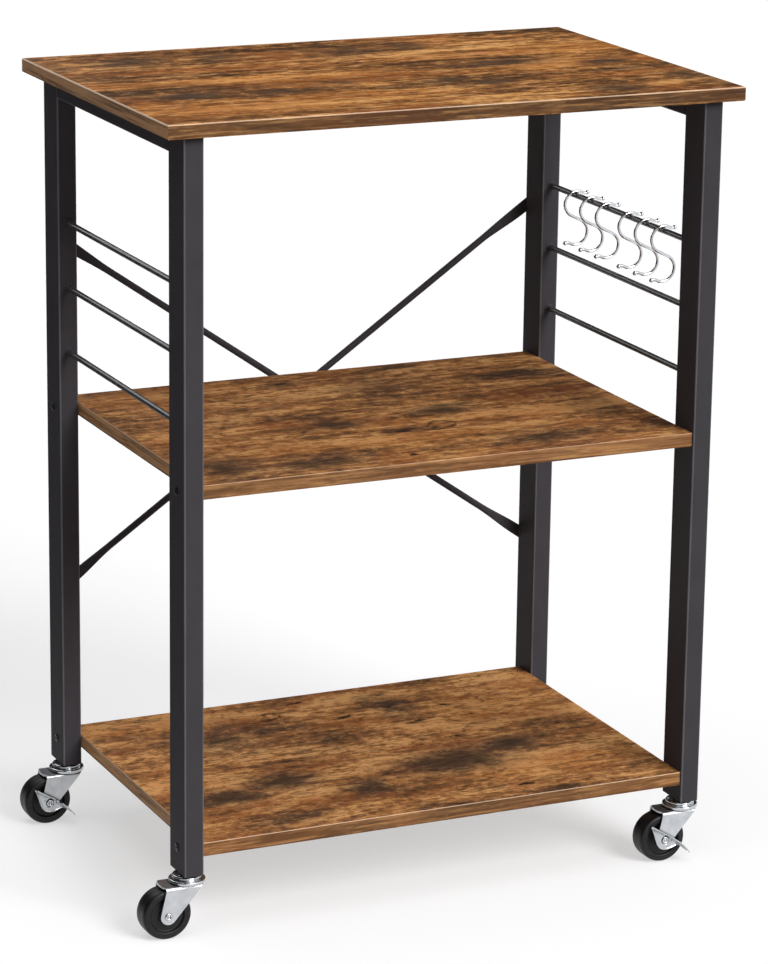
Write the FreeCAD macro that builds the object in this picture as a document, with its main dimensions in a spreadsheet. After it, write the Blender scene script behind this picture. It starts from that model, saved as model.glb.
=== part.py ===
import FreeCAD, Part
import math
import os
import re

import Sketcher

# Three-tier kitchen rack: boards bolted between two welded side frames, on four swivel casters.
# Millimetres, +Z up, +X along the long side, -Y to the front.
# The origin is on the floor, under the middle of the boards.

sizes = {
    # boards
    "boardLength": 600,
    "boardDepth": 400,
    "boardThick": 14,
    "boardRound": 1.5,
    "endOverhang": 19,
    "sideOverhang": 9,
    "shelfThick": 14,
    "shelfRound": 1,
    "shelfFrontInset": 3,
    "shelfRearInset": 9,
    "middleShelfShare": 0.52,
    "bottomShelfRise": 18,
    # side frames
    "legWidth": 20,
    "legDepth": 40,
    "legLength": 721,
    "tubeWall": 1.2,
    "tubeRound": 2,
    "railHeight": 20,
    "rodRadius": 3,
    "rodTopDrop": 146,
    "rodSpacing": 66.5,
    "plugLength": 24,
    # bolt heads
    "headSides": 12,
    "shelfHeadRadius": 4.5,
    "shelfHeadHeight": 1.2,
    "braceHeadRadius": 6.2,
    "braceHeadHeight": 3.5,
    # cross braces
    "braceRadius": 3.5,
    "braceTabWidth": 12,
    "braceTabThick": 3,
    "braceFlat": 14,
    "braceTaper": 58,
    "braceUpperShare": 0.767,
    "braceLowerShare": 0.247,
    "bracePassGap": 0.4,
    # caster swivels
    "fitPlay": 0.05,
    "overrun": 5,
    "collarFlats": 14,
    "collarHeight": 3,
    "domeRadius": 14.5,
    "domeHeight": 3.8,
    "raceInset": 3,
    "raceHeight": 4,
    "swivelGap": 0.1,
    "kingpinRadius": 4,
    "kingpinTail": 1.5,
    # caster forks
    "forkSheet": 2,
    "forkRear": 29,
    "forkFront": 12.5,
    "cheekRear": 27,
    "bossRadius": 7.5,
    "casterTrail": 24,
    # caster wheels
    "wheelRadius": 25,
    "wheelWidth": 22,
    "wheelSideGap": 1,
    "axleRadius": 3,
    "axleProud": 1.2,
    "axleDrop": 40,
    # brake levers
    "leverSheet": 1.5,
    "leverGap": 0.2,
    "leverRadius": 12,
    "leverArcHalf": 7,
    "leverToe": 23,
    "leverToeRise": 4,
    "leverRoot": 15,
    "leverRootRise": 6,
    "leverPedal": 27,
    "leverPedalRise": 3,
    "leverFlange": 12,
    "leverTilt": 35,
    "toeDepth": 5,
    "pedalDepth": 9,
    # hooks
    "wireRadius": 1.6,
    "wireSides": 6,
    "hookRadius": 13.4,
    "hookSteps": 8,
    "hookSpan": 30,
    "hookTipAngle": 35,
    "hookPitch": 35,
    "hookGroupGap": 50,
    "hookOffset": -2.5,
}

doc = FreeCAD.newDocument("kitchen_rack")
sheet = doc.addObject("Spreadsheet::Sheet", "sizes")
for row, (name, number) in enumerate(sizes.items(), start=1):
    sheet.set(f"A{row}", name)
    sheet.set(f"B{row}", str(number))
    sheet.setAlias(f"B{row}", name)
doc.recompute()

nodes = {}

# Places that several pieces share, as expressions of the sizes
legFoot = "(wheelRadius + axleDrop)"
legX = "(boardLength / 2 - endOverhang - legWidth / 2)"
legY = "(boardDepth / 2 - sideOverhang - legDepth / 2)"
outerX = "(boardLength / 2 - endOverhang)"
innerX = "(boardLength / 2 - endOverhang - legWidth)"
frameRear = "(boardDepth / 2 - sideOverhang)"
railLength = "(boardDepth - 2 * sideOverhang - 2 * legDepth)"
sideSigns = {"left": "-", "right": ""}
rowSigns = {"front": "-", "rear": ""}
corners = [(row, side) for row in rowSigns for side in sideSigns]
shelfRises = {"middle": "(legLength * middleShelfShare)", "bottom": "bottomShelfRise"}
braceRises = {"Upper": "(legLength * braceUpperShare)", "Lower": "(legLength * braceLowerShare)"}
topRodHeight = f"({legFoot} + legLength - rodTopDrop)"

# Heights in a caster, down from the leg's foot
domeFoot = "(-collarHeight - domeHeight)"
raceFoot = f"({domeFoot} - raceHeight)"
plateTop = f"({raceFoot} - swivelGap)"
plateFoot = f"({plateTop} - forkSheet)"
forkInside = "(wheelWidth / 2 + wheelSideGap)"
forkOutside = f"({forkInside} + forkSheet)"


def linked(text):
    return re.sub(r"[A-Za-z]\w*", lambda word: "sizes." + word[0] if word[0] in sizes else word[0], text)


def value(text):
    return float(sheet.evalExpression(text))


def bind(item, setting, text):
    item.setExpression(setting, linked(text))


def keep(item, label):
    item.Label = label
    nodes[label] = item
    return item


def newBody(name):
    return doc.addObject("PartDesign::Body", name)


def sketchOn(body, role, lift="0"):
    sketch = body.newObject("Sketcher::SketchObject", body.Name + "Sketch")
    plane = next(item for item in body.Origin.OriginFeatures if item.Role == role)
    sketch.AttachmentSupport = [(plane, "")]
    sketch.MapMode = "FlatFace"
    bind(sketch, "AttachmentOffset.Base.z", lift)
    return sketch


def rule(sketch, kind, text, *spots):
    index = sketch.addConstraint(Sketcher.Constraint(kind, *spots, value(text)))
    bind(sketch, f"Constraints[{index}]", text)


def tie(sketch, kind, *spots):
    sketch.addConstraint(Sketcher.Constraint(kind, *spots))


def pin(sketch, curve, end, x, y):
    for kind, axis, text in (("DistanceX", -2, x), ("DistanceY", -1, y)):
        if math.isclose(value(text), 0, abs_tol=1e-9):
            tie(sketch, "PointOnObject", curve, end, axis)
        else:
            rule(sketch, kind, text, -1, 1, curve, end)


def spot(x, y):
    return FreeCAD.Vector(value(x), value(y), 0)


def circle(sketch, x, y, radius):
    curve = sketch.addGeometry(Part.Circle(spot(x, y), FreeCAD.Vector(0, 0, 1), value(radius)))
    pin(sketch, curve, 3, x, y)
    rule(sketch, "Radius", radius, curve)


def outline(sketch, points, closed=True):
    # straight stretches from point to point
    spots = [spot(x, y) for x, y in points]
    stretches = list(zip(spots, spots[1:] + spots[:1]))
    if not closed:
        stretches.pop()
    first = sketch.GeometryCount
    count = len(stretches)
    for start, end in stretches:
        sketch.addGeometry(Part.LineSegment(start, end))
    for i, (x, y) in enumerate(points[:count]):
        pin(sketch, first + i, 1, x, y)
    for i in range(count if closed else count - 1):
        tie(sketch, "Coincident", first + i, 2, first + (i + 1) % count, 1)
    if not closed:
        pin(sketch, first + count - 1, 2, *points[-1])


def rectangle(sketch, left, right, low, high):
    outline(sketch, [(left, low), (right, low), (right, high), (left, high)])


def polygon(sketch, sides, radius):
    # regular outline, round the sketch's origin
    turns = [f"({step} * 360 / {sides})" for step in range(round(value(sides)))]
    outline(sketch, [(f"{radius} * cos({turn})", f"{radius} * sin({turn})") for turn in turns])


def roundedRectangle(sketch, width, height, radius):
    # centred on the sketch's origin: corner arcs joined by tangent sides
    first = sketch.GeometryCount
    halfX = f"({width} / 2 - {radius})"
    halfY = f"({height} / 2 - {radius})"
    places = [(halfX, halfY), ("-" + halfX, halfY), ("-" + halfX, "-" + halfY), (halfX, "-" + halfY)]
    for quarter, (x, y) in enumerate(places):
        form = Part.Circle(spot(x, y), FreeCAD.Vector(0, 0, 1), value(radius))
        sketch.addGeometry(Part.ArcOfCircle(form, quarter * math.pi / 2, (quarter + 1) * math.pi / 2))
        pin(sketch, first + quarter, 3, x, y)
        rule(sketch, "Radius", radius, first + quarter)
    for quarter in range(4):
        after = (quarter + 1) % 4
        start = sketch.getPoint(first + quarter, 2)
        end = sketch.getPoint(first + after, 1)
        side = sketch.addGeometry(Part.LineSegment(start, end))
        tie(sketch, "Tangent", first + quarter, 2, side, 1)
        tie(sketch, "Tangent", side, 2, first + after, 1)


def pad(body, sketch, length, middle=False, reverse=False):
    feature = body.newObject("PartDesign::Pad", body.Name + "Pad")
    feature.Profile = sketch
    feature.Midplane = middle
    feature.Reversed = reverse
    bind(feature, "Length", length)
    return feature


def pocket(body, sketch, length, middle=False, reverse=False):
    doc.recompute()
    before = body.Shape.Volume
    feature = body.newObject("PartDesign::Pocket", body.Name + "Pocket")
    feature.Profile = sketch
    feature.Midplane = middle
    feature.Reversed = reverse
    bind(feature, "Length", length)
    doc.recompute()
    if not body.Shape.Volume < before:
        raise ValueError(f"{feature.Name} cuts nothing")


def revolve(body, sketch, axis):
    feature = body.newObject("PartDesign::Revolution", body.Name + "Revolution")
    feature.Profile = sketch
    feature.ReferenceAxis = (sketch, [axis])
    feature.Angle = 360


def fillet(body, base, axes, radius):
    # rounds the straight edges of base that run along these axes
    doc.recompute()
    names = []
    for index, edge in enumerate(base.Shape.Edges, start=1):
        direction = edge.tangentAt(edge.FirstParameter)
        if any(math.isclose(abs(getattr(direction, axis)), 1) for axis in axes):
            names.append(f"Edge{index}")
    feature = body.newObject("PartDesign::Fillet", body.Name + "Fillet")
    feature.Base = (base, names)
    bind(feature, "Radius", radius)


def locate(item, x, y, z):
    for axis, text in zip("xyz", (x, y, z)):
        bind(item, f"Placement.Base.{axis}", text)
    return item


def copyOf(form, name, x, y, z, axis=(0, 0, 1), turn="0"):
    # one form, placed again
    item = doc.addObject("Part::Compound", name)
    item.Links = [form]
    item.Placement = FreeCAD.Placement(FreeCAD.Vector(), FreeCAD.Rotation(FreeCAD.Vector(*axis), 0))
    bind(item, "Placement.Rotation.Angle", turn)
    return locate(item, x, y, z)


def group(label, items):
    # identical pieces, each a separate solid, in one node
    item = doc.addObject("Part::Compound", label)
    item.Links = items
    keep(item, label)


def makeTopBoard():
    body = newBody("topBoard")
    sketch = sketchOn(body, "XY_Plane")
    rectangle(sketch, "-boardLength / 2", "boardLength / 2", "-boardDepth / 2", "boardDepth / 2")
    fillet(body, pad(body, sketch, "boardThick"), "xy", "boardRound")
    locate(body, "0", "0", f"{legFoot} + legLength")
    keep(body, "top_board")


def makeShelf(tier):
    body = newBody(tier + "Shelf")
    sketch = sketchOn(body, "XY_Plane")
    rectangle(sketch, f"-{innerX}", innerX, f"shelfFrontInset - {frameRear}", f"{frameRear} - shelfRearInset")
    fillet(body, pad(body, sketch, "shelfThick"), "x", "shelfRound")
    locate(body, "0", "0", f"{legFoot} + {shelfRises[tier]}")
    keep(body, tier + "_shelf")


def tubeSketch(sketch, width, depth):
    roundedRectangle(sketch, width, depth, "tubeRound")
    halfX, halfY = f"({width} / 2 - tubeWall)", f"({depth} / 2 - tubeWall)"
    rectangle(sketch, "-" + halfX, halfX, "-" + halfY, halfY)


def makeLeg(row, side):
    body = newBody(row + side.capitalize() + "Leg")
    sketch = sketchOn(body, "XY_Plane")
    tubeSketch(sketch, "legWidth", "legDepth")
    pad(body, sketch, "legLength")
    locate(body, sideSigns[side] + legX, rowSigns[row] + legY, legFoot)
    keep(body, f"{row}_{side}_leg")


def makeRail(side):
    body = newBody(side + "Rail")
    sketch = sketchOn(body, "XZ_Plane")
    tubeSketch(sketch, "legWidth", "railHeight")
    pad(body, sketch, railLength, middle=True)
    locate(body, sideSigns[side] + legX, "0", f"{legFoot} + legLength - railHeight / 2")
    keep(body, side + "_top_rail")


def pinForm(name, radius, length):
    form = doc.addObject("Part::Cylinder", name)
    bind(form, "Radius", radius)
    bind(form, "Height", length)
    return form


def makeRods():
    form = pinForm("rodForm", "rodRadius", railLength)
    for side, sign in sideSigns.items():
        for step, tier in enumerate(("upper", "middle", "lower")):
            height = f"{topRodHeight} - {step} * rodSpacing"
            label = f"{side}_{tier}_rod"
            keep(copyOf(form, label, sign + legX, f"-{railLength} / 2", height, (1, 0, 0), "-90"), label)


def makeBrace(label, side, turnSign):
    # a round bar whose flattened ends lie on the rear legs; side puts the bar before or behind them
    rise = f"({braceRises['Upper']} - {braceRises['Lower']})"
    half = f"(sqrt((2 * {legX})^2 + {rise}^2) / 2)"
    flat = f"({half} - braceFlat)"
    taper = f"({flat} - braceTaper)"
    barY = f"(braceTabThick / 2 {side} (braceRadius + bracePassGap / 2))"
    body = newBody(label + "Half")
    bar = sketchOn(body, "YZ_Plane")
    circle(bar, barY, "0", "braceRadius")
    pad(body, bar, taper)
    # eight flats run from the round bar to the edges of the tab
    ways = [(1, 0), (1, 1), (0, 1), (-1, 1), (-1, 0), (-1, -1), (0, -1), (1, -1)]
    roundEnd = sketchOn(body, "YZ_Plane", taper)
    ring = [(a / math.hypot(a, b), b / math.hypot(a, b)) for a, b in ways]
    outline(roundEnd, [(f"{barY} + {a} * braceRadius", f"{b} * braceRadius") for a, b in ring])
    flatEnd = sketchOn(body, "YZ_Plane", flat)
    outline(flatEnd, [(f"(1 + {a}) * braceTabThick / 2", f"{b} * braceTabWidth / 2") for a, b in ways])
    loft = body.newObject("PartDesign::AdditiveLoft", body.Name + "Loft")
    loft.Profile = roundEnd
    loft.Sections = [flatEnd]
    loft.Ruled = True
    tab = sketchOn(body, "XZ_Plane")
    rectangle(tab, flat, half, "-braceTabWidth / 2", "braceTabWidth / 2")
    pad(body, tab, "braceTabThick", reverse=True)
    tip = sketchOn(body, "XZ_Plane")
    circle(tip, half, "0", "braceTabWidth / 2")
    pad(body, tip, "braceTabThick", reverse=True)
    mirror = doc.addObject("Part::Mirroring", label + "Mirror")
    mirror.Source = body
    mirror.Normal = FreeCAD.Vector(1, 0, 0)
    whole = doc.addObject("Part::Fuse", label + "Whole")
    whole.Base = body
    whole.Tool = mirror
    whole.Refine = True
    height = f"{legFoot} + ({braceRises['Upper']} + {braceRises['Lower']}) / 2"
    turn = f"{turnSign}atan2({rise}; 2 * {legX})"
    keep(copyOf(whole, label, "0", frameRear, height, (0, 1, 0), turn), label)


def headForm(name, radius, height):
    form = newBody(name)
    sketch = sketchOn(form, "XY_Plane")
    polygon(sketch, "headSides", radius)
    pad(form, sketch, height)
    return form


def makeShelfBolts():
    # heads on the outer faces of the legs, level with the middle of each shelf
    form = headForm("shelfBoltForm", "shelfHeadRadius", "shelfHeadHeight")
    turns = {"left": "-90", "right": "90"}
    items = []
    for row, side in corners:
        for tier, rise in shelfRises.items():
            name = tier + row.capitalize() + side.capitalize() + "Bolt"
            place = (sideSigns[side] + outerX, rowSigns[row] + legY, f"{legFoot} + {rise} + shelfThick / 2")
            items.append(copyOf(form, name, *place, (0, 1, 0), turns[side]))
    group("shelf_bolts", items)


def makeBraceBolts():
    # heads on the flattened ends of the braces
    form = headForm("braceBoltForm", "braceHeadRadius", "braceHeadHeight")
    items = []
    for side, sign in sideSigns.items():
        for level, rise in braceRises.items():
            place = (sign + legX, f"{frameRear} + braceTabThick", f"{legFoot} + {rise}")
            items.append(copyOf(form, side + level + "BraceBolt", *place, (1, 0, 0), "-90"))
    group("brace_bolts", items)


def plugForm():
    # moulded plug that closes the leg's foot and carries the caster's stem
    form = newBody("plugForm")
    sketch = sketchOn(form, "XY_Plane")
    halfX, halfY = "(legWidth / 2 - tubeWall)", "(legDepth / 2 - tubeWall)"
    rectangle(sketch, "-" + halfX, halfX, "-" + halfY, halfY)
    pad(form, sketch, "plugLength")
    return form


def stemForm():
    # hexagon collar, two stacked races and the kingpin that the fork turns on
    form = newBody("stemForm")
    sketch = sketchOn(form, "XZ_Plane")
    kingpinFoot = f"({plateFoot} - kingpinTail)"
    raceRadius = "(legDepth / 2 - raceInset)"
    points = [
        ("0", "-collarHeight"),
        ("0", kingpinFoot),
        ("kingpinRadius", kingpinFoot),
        ("kingpinRadius", raceFoot),
        (raceRadius, raceFoot),
        (raceRadius, domeFoot),
        ("domeRadius", domeFoot),
        ("domeRadius", "-collarHeight"),
    ]
    outline(sketch, points)
    revolve(form, sketch, "V_Axis")
    collar = sketchOn(form, "XY_Plane", "-collarHeight")
    polygon(collar, "6", "collarFlats / 2 / cos(30)")
    pad(form, collar, "collarHeight")
    return form


def tangentSpot(start, centre, radius, side):
    # where the line from start touches the circle, on the given side
    away = start - centre
    angle = math.atan2(away.y, away.x) + side * math.acos(radius / away.Length)
    return centre + FreeCAD.Vector(math.cos(angle), math.sin(angle), 0) * radius


def cheekSketch(sketch):
    # side plate: straight top, two edges that run down tangent to the round boss at the axle
    rear, front = spot("-cheekRear", plateTop), spot("forkFront", plateTop)
    centre = spot("-casterTrail", "-axleDrop")
    radius = value("bossRadius")
    rearFoot = tangentSpot(rear, centre, radius, 1)
    frontFoot = tangentSpot(front, centre, radius, -1)
    top = sketch.addGeometry(Part.LineSegment(rear, front))
    frontEdge = sketch.addGeometry(Part.LineSegment(front, frontFoot))
    rearEdge = sketch.addGeometry(Part.LineSegment(rearFoot, rear))
    turn = [math.atan2(foot.y - centre.y, foot.x - centre.x) for foot in (rearFoot, frontFoot)]
    boss = sketch.addGeometry(Part.ArcOfCircle(Part.Circle(centre, FreeCAD.Vector(0, 0, 1), radius), *turn))
    pin(sketch, top, 1, "-cheekRear", plateTop)
    pin(sketch, top, 2, "forkFront", plateTop)
    pin(sketch, boss, 3, "-casterTrail", "-axleDrop")
    rule(sketch, "Radius", "bossRadius", boss)
    tie(sketch, "Coincident", top, 2, frontEdge, 1)
    tie(sketch, "Coincident", rearEdge, 2, top, 1)
    tie(sketch, "Tangent", frontEdge, 2, boss, 2)
    tie(sketch, "Tangent", rearEdge, 1, boss, 1)


def forkForm():
    # pressed fork: a top plate and two cheeks folded down past the wheel
    form = newBody("forkForm")
    plate = sketchOn(form, "XY_Plane", plateFoot)
    rectangle(plate, "-forkRear", "forkFront", f"-{forkOutside}", forkOutside)
    pad(form, plate, "forkSheet")
    cheeks = sketchOn(form, "XZ_Plane")
    cheekSketch(cheeks)
    pad(form, cheeks, f"2 * {forkOutside}", middle=True)
    gap = sketchOn(form, "YZ_Plane")
    rectangle(gap, f"-{forkInside}", forkInside, "-axleDrop - bossRadius - overrun", plateFoot)
    pocket(form, gap, "2 * (forkRear + casterTrail)", middle=True)
    bore = sketchOn(form, "XY_Plane")
    circle(bore, "0", "0", "kingpinRadius + fitPlay")
    pocket(form, bore, f"overrun - {plateFoot}")
    eye = sketchOn(form, "XZ_Plane")
    circle(eye, "-casterTrail", "-axleDrop", "axleRadius + fitPlay")
    pocket(form, eye, f"2 * ({forkOutside} + overrun)", middle=True)
    return form


def wheelForm():
    form = newBody("wheelForm")
    sketch = sketchOn(form, "XY_Plane")
    rectangle(sketch, "axleRadius + fitPlay", "wheelRadius", "-wheelWidth / 2", "wheelWidth / 2")
    revolve(form, sketch, "V_Axis")
    return form


def leverForm():
    # stamped brake lever on the axle: half-moon plate, a toe and a foot pedal turned outward
    form = newBody("leverForm")
    face = f"({forkOutside} + leverGap)"
    arcFoot = "-sqrt(leverRadius^2 - leverArcHalf^2)"
    plate = sketchOn(form, "XZ_Plane", face)
    points = [
        ("leverArcHalf", arcFoot),
        ("leverRoot", "0"),
        ("leverRoot", "leverRootRise"),
        ("-leverToe", "leverToeRise"),
        ("-leverArcHalf", arcFoot),
    ]
    outline(plate, points, closed=False)
    bottom = FreeCAD.Vector(0, -value("leverRadius"), 0)
    arc = plate.addGeometry(Part.Arc(spot("-leverArcHalf", arcFoot), bottom, spot("leverArcHalf", arcFoot)))
    tie(plate, "Coincident", 3, 2, arc, 1)
    tie(plate, "Coincident", arc, 2, 0, 1)
    rule(plate, "Radius", "leverRadius", arc)
    pad(form, plate, "leverSheet")
    slope = "(leverRootRise - leverToeRise) / (leverRoot + leverToe)"
    toeEnd = "(leverFlange - leverToe)"
    toeEndRise = f"(leverToeRise + leverFlange * {slope})"
    toe = sketchOn(form, "XZ_Plane", face)
    toeTop = [("-leverToe", "leverToeRise"), (toeEnd, toeEndRise)]
    toeFoot = [(toeEnd, f"{toeEndRise} - leverSheet"), ("-leverToe", "leverToeRise - leverSheet")]
    outline(toe, toeTop + toeFoot)
    pad(form, toe, "toeDepth")
    start = "(leverRoot - leverFlange / 2)"
    startRise = f"(leverRootRise - leverFlange / 2 * {slope})"
    pedal = sketchOn(form, "XZ_Plane", face)
    pedalStart = [(start, startRise), (start, f"{startRise} - leverSheet")]
    pedalEnd = [("leverPedal", "leverPedalRise - leverSheet"), ("leverPedal", "leverPedalRise")]
    outline(pedal, pedalStart + pedalEnd)
    pad(form, pedal, "pedalDepth")
    eye = sketchOn(form, "XZ_Plane", face)
    circle(eye, "0", "0", "axleRadius + fitPlay")
    pocket(form, eye, "leverSheet + overrun", reverse=True)
    return form


def makeCasters():
    plug, stem, fork, wheel, lever = plugForm(), stemForm(), forkForm(), wheelForm(), leverForm()
    plainEnd = f"({forkOutside} + axleProud)"
    brakeEnd = f"({plainEnd} + leverSheet + 2 * leverGap)"
    plainAxle = pinForm("plainAxleForm", "axleRadius", f"2 * {plainEnd}")
    brakeAxle = pinForm("brakeAxleForm", "axleRadius", f"{plainEnd} + {brakeEnd}")
    plugs, stems = [], []
    for row, side in corners:
        x, y = sideSigns[side] + legX, rowSigns[row] + legY
        hubX = f"{x} - casterTrail"
        name = f"{row}_{side}_"
        braked = (row, side) in (("front", "right"), ("rear", "left"))
        plugs.append(copyOf(plug, name + "plug", x, y, legFoot))
        stems.append(copyOf(stem, name + "stem", x, y, legFoot))
        keep(copyOf(fork, name + "fork", x, y, legFoot), name + "fork")
        keep(copyOf(wheel, name + "wheel", hubX, y, "wheelRadius"), name + "wheel")
        axle, end = (brakeAxle, brakeEnd) if braked else (plainAxle, plainEnd)
        label = name + "axle"
        keep(copyOf(axle, label, hubX, f"{y} - {end}", "wheelRadius", (1, 0, 0), "-90"), label)
        if braked:
            label = name + "brake_lever"
            keep(copyOf(lever, label, hubX, y, "wheelRadius", (0, 1, 0), "leverTilt"), label)
    group("leg_plugs", plugs)
    group("caster_stems", stems)


def makeHooks():
    # S of wire: two arcs, each turned from tip to straight in equal steps, the lower the upper reversed
    form = newBody("hookForm")
    upper = "(rodRadius + wireRadius + fitPlay - hookRadius)"
    sweep = "(270 deg - acos(2 * hookRadius / hookSpan) - hookTipAngle * 1 deg)"
    steps = range(round(value("hookSteps")) + 1)
    turns = [f"(hookTipAngle * 1 deg + {step} / hookSteps * {sweep})" for step in steps]
    upperArc = [(f"hookRadius * cos({turn})", f"({upper} + hookRadius * sin({turn}))") for turn in turns]
    lowerArc = [("-" + x, f"(2 * {upper} - hookSpan - {z})") for x, z in reversed(upperArc)]
    path = sketchOn(form, "XZ_Plane")
    outline(path, upperArc + lowerArc, closed=False)
    section = form.newObject("Sketcher::SketchObject", "hookSection")
    section.AttachmentSupport = [(path, "Edge1")]
    section.MapMode = "NormalToEdge"
    polygon(section, "wireSides", "wireRadius")
    pipe = form.newObject("PartDesign::AdditivePipe", "hookWire")
    pipe.Profile = section
    pipe.Spine = (path, [f"Edge{index + 1}" for index in range(path.GeometryCount)])
    pipe.Transition = "Right corner"
    rowHalf = "(hookGroupGap / 2 + 2 * hookPitch)"
    for index in range(6):
        gap = " - hookGroupGap + hookPitch" if index > 2 else ""
        label = f"s_hook_{index + 1}"
        y = f"hookOffset + {rowHalf} - {index} * hookPitch{gap}"
        keep(copyOf(form, label, legX, y, topRodHeight), label)


makeTopBoard()
for tier in shelfRises:
    makeShelf(tier)
for row, side in corners:
    makeLeg(row, side)
for side in sideSigns:
    makeRail(side)
makeRods()
makeBrace("falling_brace", "-", "")
makeBrace("rising_brace", "+", "-")
makeShelfBolts()
makeBraceBolts()
makeCasters()
makeHooks()
doc.recompute()

for item in doc.Objects:
    if "Invalid" in item.State or "Error" in item.State:
        raise ValueError(f"{item.Label} failed to build")
os.makedirs("parts", exist_ok=True)
for label, item in nodes.items():
    if item.Shape.isNull() or not item.Shape.isValid() or not item.Shape.Solids:
        raise ValueError(f"{label} has no valid solid")
for label, item in nodes.items():
    item.Shape.exportStep(f"parts/{label}.step")
    print(label, len(item.Shape.Solids), round(item.Shape.Volume, 1))
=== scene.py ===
import math

import bpy
import bmesh
import numpy as np
from mathutils import Matrix, Vector


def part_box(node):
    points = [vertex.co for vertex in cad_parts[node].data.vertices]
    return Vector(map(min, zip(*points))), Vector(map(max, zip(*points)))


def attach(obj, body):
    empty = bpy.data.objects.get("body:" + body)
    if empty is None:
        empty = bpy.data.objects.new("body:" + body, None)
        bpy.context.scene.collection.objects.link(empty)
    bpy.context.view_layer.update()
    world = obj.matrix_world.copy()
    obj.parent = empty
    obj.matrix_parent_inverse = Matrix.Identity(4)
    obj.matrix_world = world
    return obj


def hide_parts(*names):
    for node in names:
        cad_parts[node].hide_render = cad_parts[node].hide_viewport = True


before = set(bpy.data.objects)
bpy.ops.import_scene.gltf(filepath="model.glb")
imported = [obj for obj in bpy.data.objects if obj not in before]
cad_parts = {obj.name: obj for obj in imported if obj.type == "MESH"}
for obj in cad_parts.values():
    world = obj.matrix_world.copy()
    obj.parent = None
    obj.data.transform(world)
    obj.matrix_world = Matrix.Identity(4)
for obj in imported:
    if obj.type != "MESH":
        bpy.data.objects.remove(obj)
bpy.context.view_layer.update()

# Three-tier kitchen rack: rustic boards, black tube frame, zinc casters, chrome S-hooks.
# Metres, +Z up, the front is at -Y; the pieces' dictionaries are in millimetres and degrees.
mm = 0.001
corners = ("front_left", "front_right", "rear_left", "rear_right")
brakedCorners = ("front_right", "rear_left")
print("frame loaded:", len(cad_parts), "nodes")


class Value:
    # one output socket; arithmetic on it adds Math nodes
    def __init__(self, finish, socket):
        self.finish, self.socket = finish, socket

    def math(self, operation, first, second=0.0):
        return self.finish.add("ShaderNodeMath", {"operation": operation}, {0: first, 1: second})

    def __add__(self, other):
        return self.math("ADD", self, other)

    def __radd__(self, other):
        return self.math("ADD", other, self)

    def __sub__(self, other):
        return self.math("SUBTRACT", self, other)

    def __rsub__(self, other):
        return self.math("SUBTRACT", other, self)

    def __mul__(self, other):
        return self.math("MULTIPLY", self, other)

    def __rmul__(self, other):
        return self.math("MULTIPLY", other, self)

    def __abs__(self):
        return self.math("ABSOLUTE", self)

    def most(self, other):
        return self.math("MAXIMUM", self, other)

    def rise(self, low, high):
        # 0 below low, 1 above high, smooth between
        settings = {"interpolation_type": "SMOOTHSTEP"}
        return self.finish.add("ShaderNodeMapRange", settings, {0: self, 1: low, 2: high})


class Finish:
    # a node tree and the one way that nodes are added to it
    def __init__(self, owner):
        owner.use_nodes = True
        self.owner, self.tree = owner, owner.node_tree

    def add(self, kind, settings=None, sockets=None, output=0):
        node = self.tree.nodes.new(kind)
        for key, setting in (settings or {}).items():
            if key == "stops":
                ramp = node.color_ramp.elements
                while len(ramp) < len(setting):
                    ramp.new(1.0)
                for element, (place, colour) in zip(ramp, setting):
                    element.position, element.color = place, colour
            else:
                setattr(node, key, setting)
        for key, entry in (sockets or {}).items():
            if isinstance(entry, Value):
                self.tree.links.new(entry.socket, node.inputs[key])
            else:
                node.inputs[key].default_value = entry
        if isinstance(output, tuple):
            return [Value(self, node.outputs[key]) for key in output]
        return Value(self, node.outputs[output])

    def stretch(self, place, amounts):
        return self.add("ShaderNodeVectorMath", {"operation": "MULTIPLY"}, {0: place, 1: amounts})

    def noise(self, place, amounts, detail, roughness):
        # soft noise, stretched: amounts are cycles per metre along each axis
        stretched = self.stretch(place, amounts)
        sockets = {"Vector": stretched, "Scale": 1.0, "Detail": detail, "Roughness": roughness}
        return self.add("ShaderNodeTexNoise", {}, sockets)

    def mix(self, factor, first, second):
        settings = {"data_type": "RGBA", "clamp_factor": True}
        return self.add("ShaderNodeMix", settings, {0: factor, 6: first, 7: second}, output=2)

    def bump(self, height, strength, distance):
        return self.add("ShaderNodeBump", {}, {"Strength": strength, "Distance": distance, "Height": height})

    def facing(self):
        # the three parts of the surface's own direction
        normal = self.add("ShaderNodeTexCoord", output="Normal")
        return self.add("ShaderNodeSeparateXYZ", {}, {0: normal}, output=(0, 1, 2))

    def shade(self, **sockets):
        shader = self.tree.nodes["Principled BSDF"]
        for key, entry in sockets.items():
            socket = shader.inputs[key.replace("_", " ")]
            if isinstance(entry, Value):
                self.tree.links.new(entry.socket, socket)
            else:
                socket.default_value = entry
        return self.owner


def tint(red, green, blue):
    # screen colour, 0 to 255, as the linear colour that the sockets take
    share = np.array([red, green, blue]) / 255
    linear = np.where(share > 0.04045, ((share + 0.055) / 1.055) ** 2.4, share / 12.92)
    return (*linear.tolist(), 1.0)


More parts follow.
